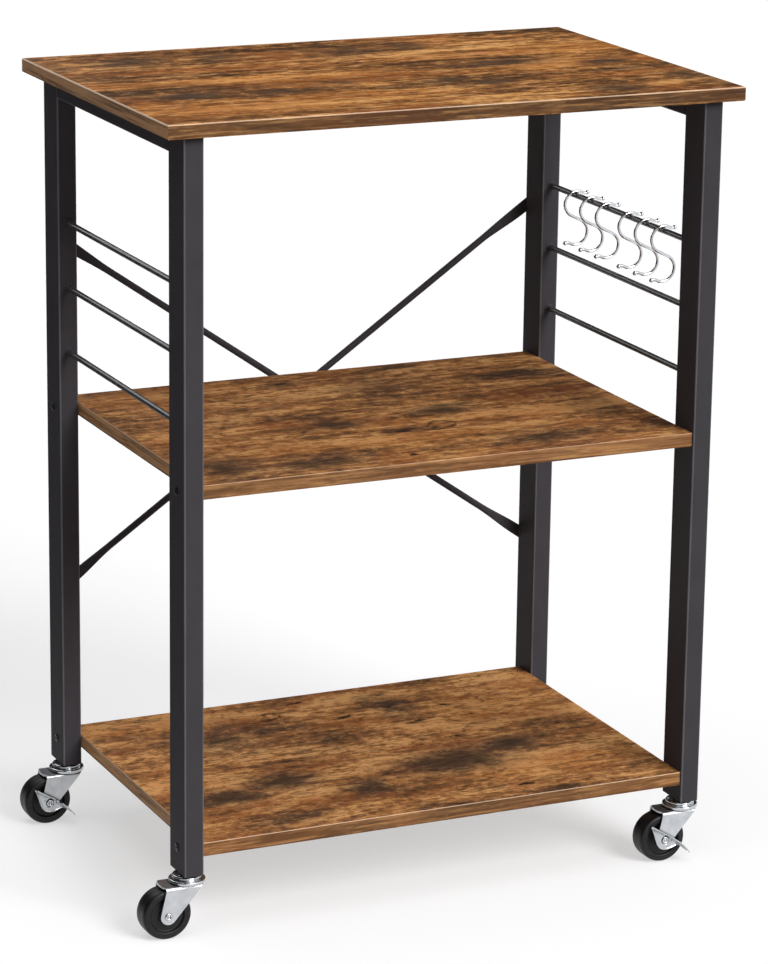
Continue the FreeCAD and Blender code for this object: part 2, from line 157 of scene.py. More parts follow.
woodLook = {
    "tones": [(0.0, tint(66, 41, 22)), (0.25, tint(104, 67, 34)), (0.5, tint(144, 94, 50)),
              (0.75, tint(184, 124, 66)), (1.0, tint(228, 170, 106))],
    "smoke": (tint(50, 34, 22), tint(86, 66, 50)),
    "ruddy": tint(158, 86, 34),
    "amber": tint(200, 126, 56),
    "knot": tint(40, 26, 18),
    "pale": tint(226, 174, 118),
    "wash": tint(172, 150, 136),
    "pore": tint(46, 28, 16),
    "end": tint(206, 158, 116),
    # arris: pale colour of the upper board edges, partly worn edge and partly painted highlight
    "arris": tint(236, 204, 172),
    # noise: cycles per metre along and across the grain, detail, roughness
    "grain": {
        "wander": (5, 13, 2.0, 0.5),
        "tone": (5, 28, 5.0, 0.6),
        "streak": (10, 130, 4.0, 0.65),
        "fibre": (45, 480, 3.0, 0.65),
        "figure": (56, 105, 5.0, 0.75),
        "dash": (18, 84, 4.0, 0.6),
        "mottle": (22, 64, 6.0, 0.75),
        "ragged": (15, 44, 5.0, 0.7),
        "ruddy": (6, 20, 3.0, 0.5),
        "ring": (4, 26, 3.0, 0.5),
        "fleck": (46, 330, 2.0, 0.5),
        "pore": (60, 430, 2.0, 0.5),
        "line": (6, 300, 4.0, 0.65),
    },
    # metres that the grain wanders across and up, and that the marks' outlines are torn along and across
    "bend": {"across": 0.016, "up": 0.004, "tornAlong": 0.072, "tornAcross": 0.03},
    # how far each one lightens or darkens the board
    "weights": {"tone": 2.4, "streak": 1.1, "fibre": 0.9, "gold": 0.3, "mottle": 1.1, "amber": 0.4},
    # how far these fade out on the edge band, and how a spot fades from its centre to its rim
    "fades": {"figure": 0.7, "smoke": 0.6, "spot": 0.45},
    # pale upper edges, partly worn and partly painted highlight: least amount, and what the streaks add
    "wornAndHighlit": (0.5, 0.6),
    # where each mark begins to show and where it is full
    "edges": {
        "end": (0.6, 0.62), "upper": (0.8, 0.9), "band": (0.2, 0.3),
        "ruddy": (0.48, 0.66), "haze": (0.1, 0.7), "smoke": (0.4, 0.82), "soot": (0.35, 0.65),
        "dash": (0.575, 0.69), "paleDash": (0.32, 0.43), "ring": (0.004, 0.016),
        "knot": (0.5, 0.75), "loopOuter": (0.42, 0.52), "loopInner": (0.58, 0.68),
        "fleck": (0.6, 0.74), "figureFleck": (0.545, 0.65), "speck": (0.36, 0.455), "pore": (0.61, 0.72),
        "bandDark": (0.4, 0.52), "bandLight": (0.52, 0.62),
        # arris, arrisTop and endArris: where the pale upper edges show, partly wear and partly painted
        # highlight
        "arris": (0.15, 0.4), "arrisTop": (0.9, 0.99),
        # lower: height above the board's underside over which the painted shade along the bottom of the edge
        # band fades out
        "endArris": (-0.002, -0.0012), "lower": (0.0008, 0.0018),
    },
    # how strongly each mark covers the colour under it
    "amounts": {
        "ruddy": 0.48, "amber": 0.6, "haze": 0.6, "smoke": 0.9, "dash": 0.55, "paleDash": 0.35, "ring": 0.45,
        "loop": 0.8, "figureFleck": 0.5, "fleck": 0.6, "speck": 0.25, "pore": 0.6,
        # lower: how dark the painted shade along the bottom of the edge band is
        "bandDark": 0.6, "bandLight": 0.4, "band": 0.75, "lower": 0.6,
    },
    "relief": {"fibre": 0.5, "streak": 0.4, "pore": 0.8, "knot": 0.5, "strength": 0.25, "depth": 0.0003},
    "sheen": {"dull": 0.52, "fibre": 0.25, "smoke": 0.1, "gloss": 0.12},
}
# marks: x, y, half length and half width in millimetres, strength
# light: base lightness of each board, higher on the two shelves as painted light against the shade under the
# top board
boardSpots = {
    "top_board": {
        # rub: how strongly each board's pale upper edges show, partly wear and partly painted highlight
        "shift": 0.0, "short": 1.0, "contrast": 1.35, "figure": 2.6, "light": 0.46, "wash": 0.0, "rub": 0.8,
        "haze": tint(78, 54, 36), "band": tint(84, 62, 46),
        "smoke": [(-215, 136, 46, 26, 0.8), (-122, 130, 34, 28, 0.7), (-227, -63, 40, 18, 0.9),
                  (-126, -66, 50, 18, 0.8), (20, 130, 71, 33, 0.7), (-284, -47, 28, 16, 0.6),
                  (-288, 121, 18, 22, 0.6), (-61, -43, 27, 12, 0.7), (92, 141, 27, 30, 0.8),
                  (139, 7, 45, 16, 0.9), (246, -16, 27, 16, 0.9), (55, 20, 57, 21, 0.5),
                  (75, -89, 30, 18, 0.8), (178, -162, 32, 21, 0.9), (285, -122, 34, 45, 0.7),
                  (42, -62, 26, 14, 0.7)],
        "gold": [(200, -17, 60, 20, 0.8), (265, 76, 60, 26, 0.9), (-144, 5, 110, 13, 0.8),
                 (-205, -140, 120, 30, 0.7)],
        "knots": [(-74, -42, 13, 4, 0.9), (160, 96, 12, 4, 0.7), (-20, -120, 10, 3, 0.8)],
        "loops": [(-8, 60, 12, 11, 0.9)],
    },
    "middle_shelf": {
        "shift": 3.7, "short": 1.3, "contrast": 1.1, "figure": 1.8, "light": 0.64, "wash": 0.05, "rub": 0.45,
        "haze": tint(84, 64, 52), "band": tint(144, 104, 70),
        "smoke": [(-55, -26, 26, 16, 0.9), (69, -9, 32, 15, 0.9), (1, -72, 20, 10, 0.9),
                  (-128, -153, 50, 22, 0.8), (50, 96, 45, 45, 0.6), (204, 101, 45, 15, 0.8),
                  (93, 167, 27, 10, 0.8), (-49, 142, 22, 12, 0.7), (-215, -140, 34, 39, 0.8),
                  (120, -148, 60, 36, 0.6), (-170, 30, 52, 30, 0.4), (228, -62, 38, 36, 0.5)],
        "gold": [(-10, -104, 150, 11, 0.8), (180, -50, 100, 12, 0.8), (-190, 142, 70, 20, 0.8)],
        "knots": [(2, -74, 14, 6, 0.9), (58, -118, 10, 6, 0.9), (-30, -160, 9, 6, 0.9),
                  (-44, 143, 12, 6, 0.8)],
        "loops": [(40, -66, 11, 13, 1.0)],
    },
    "bottom_shelf": {
        "shift": 8.3, "short": 1.7, "contrast": 1.2, "figure": 1.5, "light": 0.68, "wash": 0.06, "rub": 0.8,
        "haze": tint(84, 67, 57), "band": tint(138, 98, 64),
        "smoke": [(64, -70, 50, 28, 1.0), (134, -44, 38, 20, 0.8), (72, 109, 16, 39, 0.8),
                  (-49, -106, 21, 18, 0.9), (-123, -57, 34, 22, 0.9), (-190, -80, 30, 21, 0.9),
                  (-140, 82, 50, 42, 0.7), (-74, 89, 34, 15, 0.6), (-40, 20, 52, 36, 0.4),
                  (-148, -160, 32, 16, 0.6), (210, 10, 45, 24, 0.4)],
        "gold": [(-190, 150, 60, 20, 0.9), (-218, -20, 34, 22, 0.8), (150, -112, 90, 18, 0.9),
                 (190, 66, 80, 30, 0.7)],
        "knots": [(130, 97, 12, 6, 0.9), (99, 0, 14, 5, 0.8), (103, -158, 10, 4, 1.0), (82, 58, 10, 4, 0.9),
                  (12, 97, 10, 4, 0.9), (-18, 158, 8, 4, 0.9)],
        "loops": [(-60, 128, 10, 11, 0.9)],
    },
}


def patches(finish, place, spots):
    # the strongest of several elliptic cones: strength * (1 - fade * share of the way to the rim)
    fade = woodLook["fades"]["spot"]
    cover = None
    for x, y, halfLength, halfWidth, strength in spots:
        centre = (x * mm, y * mm, 0)
        away = finish.add("ShaderNodeVectorMath", {"operation": "SUBTRACT"}, {0: place, 1: centre})
        away = finish.stretch(away, (1 / (halfLength * mm), 1 / (halfWidth * mm), 0))
        gap = finish.add("ShaderNodeVectorMath", {"operation": "LENGTH"}, {0: away}, output="Value")
        patch = strength - fade * strength * gap
        cover = patch.most(0.0) if cover is None else cover.most(patch)
    return cover


def grained(finish, place, key):
    # noise drawn out along the grain
    along, across, detail, roughness = woodLook["grain"][key]
    return finish.noise(place, (along, across, across), detail, roughness)


def woodFinish(node, spots):
    # printed rustic board: broad tones, long streaks, fine fibre, smoky patches, knots and pores
    look, amount, edge = woodLook, woodLook["amounts"], woodLook["edges"]
    bend, weight, fade = look["bend"], look["weights"], look["fades"]
    relief, sheen = look["relief"], look["sheen"]
    arrisBase, arrisStreak = look["wornAndHighlit"]
    finish = Finish(bpy.data.materials.new(node + "Wood"))
    bottom, top = (corner[2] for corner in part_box(node))
    place = finish.add("ShaderNodeTexCoord", output="Object")
    x, y, z = finish.add("ShaderNodeSeparateXYZ", {}, {0: place}, output=(0, 1, 2))
    nx, _, nz = finish.facing()
    end = abs(nx).rise(*edge["end"])                      # the two end bands run along Y
    upper = nz.rise(*edge["upper"])
    band = 1 - abs(nz).rise(*edge["band"])                # the glued edge band

    along = (x + (y - x) * end) * spots["short"] + spots["shift"]
    across = y + (x - y) * end
    plain = finish.add("ShaderNodeCombineXYZ", {}, {0: along, 1: across, 2: z})
    wander = grained(finish, plain, "wander") - 0.5
    bent = {0: along, 1: across + bend["across"] * wander, 2: z + bend["up"] * wander}
    grain = finish.add("ShaderNodeCombineXYZ", {}, bent)
    tone, streak, fibre = (grained(finish, grain, key) for key in ("tone", "streak", "fibre"))
    figure, dash, line = (grained(finish, grain, key) for key in ("figure", "dash", "line"))
    mottle = grained(finish, grain, "mottle") - 0.5
    ragged = grained(finish, grain, "ragged") - 0.5
    outline = {0: x + bend["tornAlong"] * ragged, 1: y + bend["tornAcross"] * ragged, 2: z}
    torn = finish.add("ShaderNodeCombineXYZ", {}, outline)

    # base colour from the grain, warmer in the golden patches
    gold = patches(finish, torn, spots["gold"]) * upper
    value = weight["tone"] * (tone - 0.5) + weight["streak"] * (streak - 0.5)
    value = value + weight["fibre"] * (fibre - 0.5)
    # the shelves' higher light is painted light against the top board's shade
    value = spots["light"] + spots["contrast"] * value
    value = value + spots["figure"] * (figure - 0.5) * (1 - fade["figure"] * band) + weight["gold"] * gold
    colour = finish.add("ShaderNodeValToRGB", {"stops": look["tones"]}, {0: value})
    ruddy = grained(finish, grain, "ruddy").rise(*edge["ruddy"])
    colour = finish.mix(amount["ruddy"] * ruddy, colour, look["ruddy"])
    colour = finish.mix(amount["amber"] * gold * (weight["amber"] + figure), colour, look["amber"])
    colour = finish.mix(spots["wash"], colour, look["wash"])

    # smoky patches, dashes and growth rings
    smoke = patches(finish, torn, spots["smoke"]) * upper + weight["mottle"] * mottle
    haze, smoky = smoke.rise(*edge["haze"]), smoke.rise(*edge["smoke"])
    soot = finish.mix(fibre.rise(*edge["soot"]), *look["smoke"])
    colour = finish.mix(amount["haze"] * haze * (1 - fade["smoke"] * band), colour, spots["haze"])
    colour = finish.mix(amount["smoke"] * smoky * (1 - fade["smoke"] * band), colour, soot)
    colour = finish.mix(amount["dash"] * dash.rise(*edge["dash"]) * (1 - band), colour, look["smoke"][0])
    paleDash = (1 - dash.rise(*edge["paleDash"])) * (1 - haze)
    colour = finish.mix(amount["paleDash"] * paleDash, colour, look["pale"])
    ring = 1 - abs(grained(finish, grain, "ring") - 0.5).rise(*edge["ring"])
    colour = finish.mix(amount["ring"] * ring * (1 - band), colour, look["pore"])

    # knots, flecks and pores
    knot = (patches(finish, torn, spots["knots"]) * upper).rise(*edge["knot"])
    loop = patches(finish, torn, spots["loops"]) * upper  # a thin dark line round a sound knot
    loop = loop.rise(*edge["loopOuter"]) * (1 - loop.rise(*edge["loopInner"]))
    knot = knot.most(amount["loop"] * loop)
    colour = finish.mix(knot, colour, look["knot"])
    fleck = grained(finish, grain, "fleck").rise(*edge["fleck"])
    fleck = fleck.most(amount["figureFleck"] * figure.rise(*edge["figureFleck"]) * (1 - band))
    colour = finish.mix(amount["fleck"] * fleck * (1 - smoky), colour, look["pale"])
    speck = (1 - figure.rise(*edge["speck"])) * (1 - band)
    colour = finish.mix(amount["speck"] * speck, colour, look["pore"])
    pore = grained(finish, grain, "pore").rise(*edge["pore"])
    colour = finish.mix(amount["pore"] * pore, colour, look["pore"])

    # edge band with its fine grain; pale upper edges, partly worn and partly painted highlight; painted shade
    # along the lower edge
    strip = finish.mix(end, spots["band"], look["end"])
    strip = finish.mix(amount["bandDark"] * (1 - line.rise(*edge["bandDark"])), strip, look["tones"][0][1])
    strip = finish.mix(amount["bandLight"] * line.rise(*edge["bandLight"]), strip, look["tones"][4][1])
    colour = finish.mix(amount["band"] * band, colour, strip)
    # pale upper edges: partly worn edge, partly painted highlight
    arris = nz.rise(*edge["arris"]) * (1 - nz.rise(*edge["arrisTop"]))
    arris = arris.most((z - top).rise(*edge["endArris"]) * band * end)
    # twice as strong on the end bands, as painted highlight
    wornAndHighlit = spots["rub"] * arris * (arrisBase + arrisStreak * streak) * (1 + end)
    colour = finish.mix(wornAndHighlit, colour, look["arris"])
    # painted shade: darker along the bottom of the edge band
    lower = (1 - (z - bottom).rise(*edge["lower"])) * band
    colour = finish.mix(amount["lower"] * lower, colour, look["pore"])
    height = relief["fibre"] * fibre + relief["streak"] * streak
    height = height - relief["pore"] * pore - relief["knot"] * knot
    return finish.shade(
        Base_Color=colour,
        Roughness=sheen["dull"] + sheen["fibre"] * (fibre - 0.5) + sheen["smoke"] * smoky,
        Normal=finish.bump(height, relief["strength"], relief["depth"]),
        Specular_IOR_Level=sheen["gloss"],
    )


# in the next four, noise: cycles per metre along X, Y and Z, detail, roughness
# relief: strength, depth in metres; dull: what each noise adds to the roughness
coatLook = {
    # edge: colour of the painted highlight along the square tube's rounded corners; the last three entries
    # set where that painted highlight shows and how strongly, patchy with the mottle
    "low": tint(54, 51, 55), "high": tint(82, 79, 83), "edge": tint(122, 120, 126),
    "peel": ((1500, 1500, 1500), 2.0, 0.5), "mottle": ((60, 60, 25), 3.0, 0.5), "relief": (0.12, 0.0002),
    "tonePeel": 0.3, "toneMottle": 0.35, "dullPeel": 0.2, "dullMottle": 0.15,
    "highlightRise": (0.1, 0.45), "highlightBase": 0.5, "highlightMottle": 0.6,
}


def coatFinish(name, paintCorners, dull, gloss):
    # black powder coat: fine orange peel, faint mottle, and on the square tube a painted highlight along the
    # rounded corners
    look = coatLook
    finish = Finish(bpy.data.materials.new(name))
    place = finish.add("ShaderNodeTexCoord", output="Object")
    peel = finish.noise(place, *look["peel"])
    mottle = finish.noise(place, *look["mottle"])
    tone = look["toneMottle"] * (mottle - 0.5) + look["tonePeel"] * (peel - 0.5) + 0.5
    colour = finish.mix(tone, look["low"], look["high"])
    if paintCorners:
        # painted highlight: lighter colour where the normal leans between two axes, on the rounded corners
        nx, ny, nz = finish.facing()
        corner = abs(nx * ny) + abs(ny * nz) + abs(nx * nz)
        cornerHighlight = corner.rise(*look["highlightRise"]) * (look["highlightBase"] + look["highlightMottle"] * mottle)
        colour = finish.mix(cornerHighlight, colour, look["edge"])
    return finish.shade(
        Base_Color=colour,
        Roughness=dull + look["dullPeel"] * (peel - 0.5) + look["dullMottle"] * (mottle - 0.5),
        Normal=finish.bump(peel, *look["relief"]),
        Specular_IOR_Level=gloss,
    )


zincLook = {
    "grey": tint(166, 170, 176), "bright": tint(224, 226, 228),
    # the first: colour of the painted shade in hollows and where parts meet; the second: how far the ambient
    # occlusion looks, in metres
    "creviceShade": tint(58, 60, 64), "shadeReach": 0.004,
    "brush": ((900, 900, 40), 3.0, 0.5), "cloud": ((90, 90, 90), 4.0, 0.6), "relief": (0.06, 0.0001),
    "dullBrush": 0.22, "dullCloud": 0.15,
}


def zincFinish(name, dull, shadeRise):
    # bright zinc plate: vertical brush lines, cloudy passivation, painted shade where surfaces meet, darker
    # where ambient occlusion finds them close
    look = zincLook
    finish = Finish(bpy.data.materials.new(name))
    place = finish.add("ShaderNodeTexCoord", output="Object")
    brush = finish.noise(place, *look["brush"])
    cloud = finish.noise(place, *look["cloud"])
    colour = finish.mix(cloud, look["grey"], look["bright"])
    reach = {"Distance": look["shadeReach"]}
    # painted shade: darker where ambient occlusion finds a nearby surface
    openness = finish.add("ShaderNodeAmbientOcclusion", {"samples": 8}, reach, output="AO")
    colour = finish.mix(openness.rise(*shadeRise), look["creviceShade"], colour)
    return finish.shade(
        Base_Color=colour,
        Metallic=1.0,
        Roughness=dull + look["dullBrush"] * (brush - 0.5) + look["dullCloud"] * (cloud - 0.5),
        Normal=finish.bump(brush, *look["relief"]),
    )


chromeLook = {
    "low": tint(190, 192, 196), "high": tint(226, 227, 230), "drawn": ((700, 700, 700), 2.0, 0.5),
    "dull": 0.08, "dullDrawn": 0.1,
}


def chromeFinish(name):
    # polished chrome wire with faint drawing lines
    look = chromeLook
    finish = Finish(bpy.data.materials.new(name))
    place = finish.add("ShaderNodeTexCoord", output="Object")
    drawn = finish.noise(place, *look["drawn"])
    colour = finish.mix(drawn, look["low"], look["high"])
    return finish.shade(Base_Color=colour, Metallic=1.0, Roughness=look["dull"] + look["dullDrawn"] * drawn)


plasticLook = {
    "spark": ((1800, 1800, 1800), 2.0, 0.5), "rub": ((120, 120, 120), 4.0, 0.6), "rubRise": (0.35, 0.75),
    "relief": (0.1, 0.0001), "dullRub": 0.2, "dullSpark": 0.15, "gloss": 0.3,
}


def plasticFinish(name, dark, light, dull):
    # moulded black plastic: fine spark texture and rubbed patches
    look = plasticLook
    finish = Finish(bpy.data.materials.new(name))
    place = finish.add("ShaderNodeTexCoord", output="Object")
    spark = finish.noise(place, *look["spark"])
    rub = finish.noise(place, *look["rub"])
    return finish.shade(
        Base_Color=finish.mix(rub.rise(*look["rubRise"]), dark, light),
        Roughness=dull + look["dullRub"] * (rub - 0.5) + look["dullSpark"] * (spark - 0.5),
        Normal=finish.bump(spark, *look["relief"]),
        Specular_IOR_Level=look["gloss"],
    )


# only the square tube gets the painted corner highlight
tubeCoat = coatFinish("tubeCoat", True, 0.5, 0.04)
rodCoat = coatFinish("rodCoat", False, 0.28, 0.5)         # the thin rods are glossier
barCoat = coatFinish("barCoat", False, 0.5, 0.06)
# last pair: where the painted shade in the hollows is full and where it is gone
zincPlate = zincFinish("zincPlate", 0.34, (0.3, 0.95))
raceZinc = zincFinish("raceZinc", 0.2, (0.1, 0.6))
leverZinc = zincFinish("leverZinc", 0.24, (0.5, 1.0))
axleSteel = zincFinish("axleSteel", 0.22, (0.3, 0.95))
hookChrome = chromeFinish("hookChrome")
wheelBlack = plasticFinish("wheelBlack", tint(14, 13, 15), tint(29, 28, 30), 0.42)
plugBlack = plasticFinish("plugBlack", tint(26, 26, 27), tint(40, 40, 42), 0.55)
boltBlack = plasticFinish("boltBlack", tint(24, 23, 26), tint(52, 51, 55), 0.34)

keptFinishes = {name: woodFinish(name, spots) for name, spots in boardSpots.items()}
keptFinishes["leg_plugs"] = plugBlack
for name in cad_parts:
    if name.endswith(("_leg", "_rail")):
        keptFinishes[name] = tubeCoat
    if name.endswith("_rod"):
        keptFinishes[name] = rodCoat
for name, material in keptFinishes.items():
    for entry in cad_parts[name].material_slots:
        entry.material = material
print("finishes on kept nodes:", len(keptFinishes))


def smooth(low, high, amount):
    # 0 below low, 1 above high, s * s * (3 - 2 * s) between
    share = np.clip((amount - low) / (high - low), 0, 1)
    return share * share * (3 - 2 * share)


def roundOff(points, passes):
    # corner cutting: each stretch gives the points at a quarter and three quarters of it
    points = np.array(points, float)
    for _ in range(passes):
        start, end = points[:-1], points[1:]
        cut = np.stack([0.75 * start + 0.25 * end, 0.25 * start + 0.75 * end], 1).reshape(-1, points.shape[1])
        points = np.concatenate([points[:1], cut, points[-1:]])
    return points


def turned(profile, centre, axis, steps, reach=None):
    # point (r, h) of the profile at turn a: centre + h * axis + r * (cos a * side + sin a * up)
    axis = np.array(axis, float)
    side = np.array([0, 0, 1.0]) if abs(axis[2]) < 0.5 else np.array([1.0, 0, 0])
    up = np.cross(axis, side)
    turn = np.linspace(0, 2 * np.pi, steps, endpoint=False)
    outward = np.cos(turn)[:, None] * side + np.sin(turn)[:, None] * up
    radius = profile[:, :1] * np.ones(steps) if reach is None else reach(profile, turn)
    return np.array(centre) + mm * (profile[:, 1, None, None] * axis + radius[:, :, None] * outward)


def hexagon(turn):
    # distance from the middle of a hexagon to its side at each turn, where its flats are 1 away
    return 1 / np.cos((turn + np.pi / 6) % (np.pi / 3) - np.pi / 6)


def quads(rows, columns, wrapRows, wrapColumns, first):
    # each cell of the grid as four point numbers
    downRows, alongColumns = np.arange(rows - (not wrapRows)), np.arange(columns - (not wrapColumns))
    i, j = np.meshgrid(downRows, alongColumns, indexing="ij")
    nextI, nextJ = (i + 1) % rows, (j + 1) % columns
    cells = np.stack([i * columns + j, nextI * columns + j, nextI * columns + nextJ, i * columns + nextJ], -1)
    return cells.reshape(-1, 4) + first


def addPiece(name, grids, material, body, nodes, closed=True, crease=35):
    # grids: (points, wrapRows, wrapColumns), all in one mesh
    points, faces, first = [], [], 0
    for grid, wrapRows, wrapColumns in grids:
        rows, columns = grid.shape[:2]
        points.append(grid.reshape(-1, 3))
        faces.append(quads(rows, columns, wrapRows, wrapColumns, first))
        first += rows * columns
    mesh = bpy.data.meshes.new(name)
    mesh.from_pydata(np.concatenate(points).tolist(), [], np.concatenate(faces).tolist())
    nearest = 1e-7                                        # points closer than this become one
    work = bmesh.new()
    work.from_mesh(mesh)
    bmesh.ops.remove_doubles(work, verts=work.verts, dist=nearest)
    bmesh.ops.dissolve_degenerate(work, dist=nearest, edges=work.edges)
    if closed:
        bmesh.ops.recalc_face_normals(work, faces=work.faces)
    work.to_mesh(mesh)
    work.free()
    mesh.polygons.foreach_set("use_smooth", np.ones(len(mesh.polygons), bool))
    mesh.set_sharp_from_angle(angle=math.radians(crease))
    mesh.materials.append(material)
    piece = bpy.data.objects.new(name, mesh)
    bpy.context.scene.collection.objects.link(piece)
    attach(piece, body)
    if nodes:
        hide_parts(*nodes)
    return piece


def thicken(piece, sheet, edge):
    # gives a folded sheet its thickness inward, then breaks its cut edges
    wall = piece.modifiers.new("sheet", "SOLIDIFY")
    wall.thickness = sheet * mm
    wall.offset = -1
    wall.use_even_offset = True
    ease = piece.modifiers.new("edge", "BEVEL")
    ease.width = edge * mm
    ease.segments = 2
    ease.limit_method = "ANGLE"
    ease.angle_limit = math.radians(40)


def middle(node):
    # middle of a node's box
    low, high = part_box(node)
    return (np.array(low) + np.array(high)) / 2


def plainName(corner, word):
    # front_left, Wheel -> frontLeftWheel
    row, side = corner.split("_")
    return row + side.capitalize() + word


wheelShape = {
    "side": [(3.1, 10.5), (3.1, 10.5), (7.4, 10.5), (8.6, 10.4), (9.1, 8.6), (10.0, 8.1), (13.0, 8.0),
             (15.9, 8.1), (16.9, 8.5), (17.4, 10.3), (18.2, 10.9), (20.4, 11.0), (22.8, 10.8), (24.5, 9.6),
             (25.0, 7.0), (25.0, 3.0), (25.0, 0.4), (24.8, 0.2)],
    "steps": 112,
}


def makeWheels():
    # half a profile from the hub to the tread, mirrored and turned about the axle
    half = np.array(wheelShape["side"])
    profile = roundOff(np.concatenate([half, half[::-1] * [1, -1]]), passes=2)
    for corner in corners:
        node = corner + "_wheel"
        grid = turned(profile, middle(node), (0, 1, 0), wheelShape["steps"])
        name = plainName(corner, "Wheel")
        addPiece(name, [(grid, True, True)], wheelBlack, corner + "_roller", [node])
    print("wheels made")


axleShape = {
    "shank": 3.0, "head": 3.7, "headHeight": 1.15, "steps": 48,
    "dome": [(0, 0.2), (0, 0.2), (0.7, 0.3), (1.2, 0.85), (1.7, 0.85), (2.2, 0.1), (2.9, 0.0), (3.4, 0.2),
             (3.7, 0.7)],
}


def makeAxles():
    # pin with a spun rivet head at each end: a ridge round a dimpled middle
    form = axleShape
    brim = [(form["head"], form["headHeight"])] * 2 + [(form["shank"], form["headHeight"])] * 2
    rivet = np.array(form["dome"] + brim)
    for corner in corners:
        node = corner + "_axle"
        low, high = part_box(node)
        length = (high[1] - low[1]) / mm
        pin = np.concatenate([rivet, rivet[::-1] * [1, -1] + [0, length]])
        x, _, z = middle(node)
        grid = turned(roundOff(pin, passes=2), (x, low[1], z), (0, 1, 0), form["steps"])
        name = plainName(corner, "Axle")
        addPiece(name, [(grid, False, True)], axleSteel, corner + "_caster", [node])
    print("axles made")


stemShape = {
    "collarFlats": 14.0,
    "collar": [(0, 0), (0.92, 0), (1, -0.35), (1, -2.7), (0.94, -3.2), (0, -3.2)],
    "races": [(0, -3.2), (6.0, -3.2), (7.4, -3.6), (8.6, -4.7), (10.4, -4.9), (11.8, -4.2), (12.8, -3.1),
              (13.8, -3.05), (14.8, -3.9), (14.8, -5.4), (14.3, -6.5), (14.6, -6.9), (17.1, -6.85),
              (18.1, -7.4), (18.2, -8.8), (18.1, -10.0), (17.4, -10.8), (16.0, -10.8), (4.0, -10.8),
              (4.0, -10.8), (4.0, -13.2), (4.6, -13.3), (4.5, -14.0), (3.2, -14.4), (0, -14.4)],
    "steps": 72,
}


def collarReach(profile, turn):
    # share of the way to the collar's flats
    return profile[:, :1] * stemShape["collarFlats"] / 2 * hexagon(turn)


def makeStems():
    # hexagon collar, then two races and the kingpin's head turned as one profile
    collar = np.array(stemShape["collar"])
    races = roundOff(stemShape["races"], passes=2)
    grids = []
    for corner in corners:
        x, y, _ = middle(corner + "_leg")
        foot = (x, y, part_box(corner + "_leg")[0][2])
        grids.append((turned(collar, foot, (0, 0, 1), stemShape["steps"], collarReach), False, True))
        grids.append((turned(races, foot, (0, 0, 1), stemShape["steps"]), False, True))
    addPiece("casterStems", grids, raceZinc, "frame", ["caster_stems"])
    print("stems made")


forkShape = {
    # measured from the middle of the leg's foot
    "top": -10.9, "sheet": 2.0, "half": 14.0, "fold": 3.2,
    "rear": -29.0, "round": 3.0, "roundPower": 3, "front": 12.5, "cheekRear": -25.6,
    "axle": (-24.0, -40.0), "boss": 8.2,
    "hollow": 0.35, "edge": 0.4, "columns": 41, "cheekRows": 15, "bendRows": 8, "flatRows": 6,
}


def makeForks():
    # cheek: straight lines from the fold to the arc round the axle
    # the fold and the plate join the two cheeks
    form = forkShape
    share = np.linspace(0, 1, form["columns"])
    axle = np.array(form["axle"])

    def touch(start, side):
        away = np.array(start) - axle
        return math.atan2(away[1], away[0]) + side * math.acos(form["boss"] / math.hypot(*away))

    rearTurn = touch((form["cheekRear"], form["top"]), 1)
    frontTurn = touch((form["front"], form["top"]), -1) + 2 * math.pi
    turn = rearTurn + share * (frontTurn - rearTurn)
    arc = axle + form["boss"] * np.stack([np.cos(turn), np.sin(turn)], -1)
    edgeX = form["cheekRear"] + share * (form["front"] - form["cheekRear"])
    edge = np.stack([edgeX, np.full_like(share, form["top"])], -1)
    drop = form["fold"] / (form["top"] - arc[:, 1])
    upper = edge + (arc - edge) * drop[:, None]
    down = np.linspace(1, 0, form["cheekRows"])[:, None]
    cheekX = upper[:, 0] + (arc[:, 0] - upper[:, 0]) * down
    cheekZ = upper[:, 1] + (arc[:, 1] - upper[:, 1]) * down
    pull = form["hollow"] * np.sin(np.pi * share) * np.sin(np.pi * down)
    cheekY = form["half"] - pull
    bend = np.linspace(0, np.pi / 2, form["bendRows"])[1:, None]
    foldRear = form["rear"] + form["round"]
    foldX = foldRear + share * (form["front"] - foldRear)
    bendX = upper[:, 0] + (foldX - upper[:, 0]) * smooth(0, np.pi / 2, bend)
    bendY = form["half"] - form["fold"] * (1 - np.cos(bend)) + 0 * share
    bendZ = upper[:, 1] + form["fold"] * np.sin(bend)
    flatHalf = form["half"] - form["fold"]
    flatY = np.linspace(flatHalf, 0, form["flatRows"])[1:, None] + 0 * share
    rear = form["rear"] + form["round"] * (flatY / flatHalf) ** form["roundPower"]
    flatX = rear + share * (form["front"] - rear)
    flatZ = form["top"] + 0 * flatY
    side = np.stack([np.concatenate([cheekX, bendX, flatX]), np.concatenate([cheekY, bendY, flatY]),
                     np.concatenate([cheekZ, bendZ, flatZ])], -1)
    whole = np.concatenate([side, side[-2::-1] * [1, -1, 1]])
    for corner in corners:
        x, y, _ = middle(corner + "_leg")
        foot = np.array([x, y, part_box(corner + "_leg")[0][2]])
        name = plainName(corner, "Fork")
        fork = addPiece(name, [(foot + mm * whole, False, False)], zincPlate, corner + "_caster",
                        [corner + "_fork"], closed=False)
        thicken(fork, form["sheet"], form["edge"])
    print("forks made")


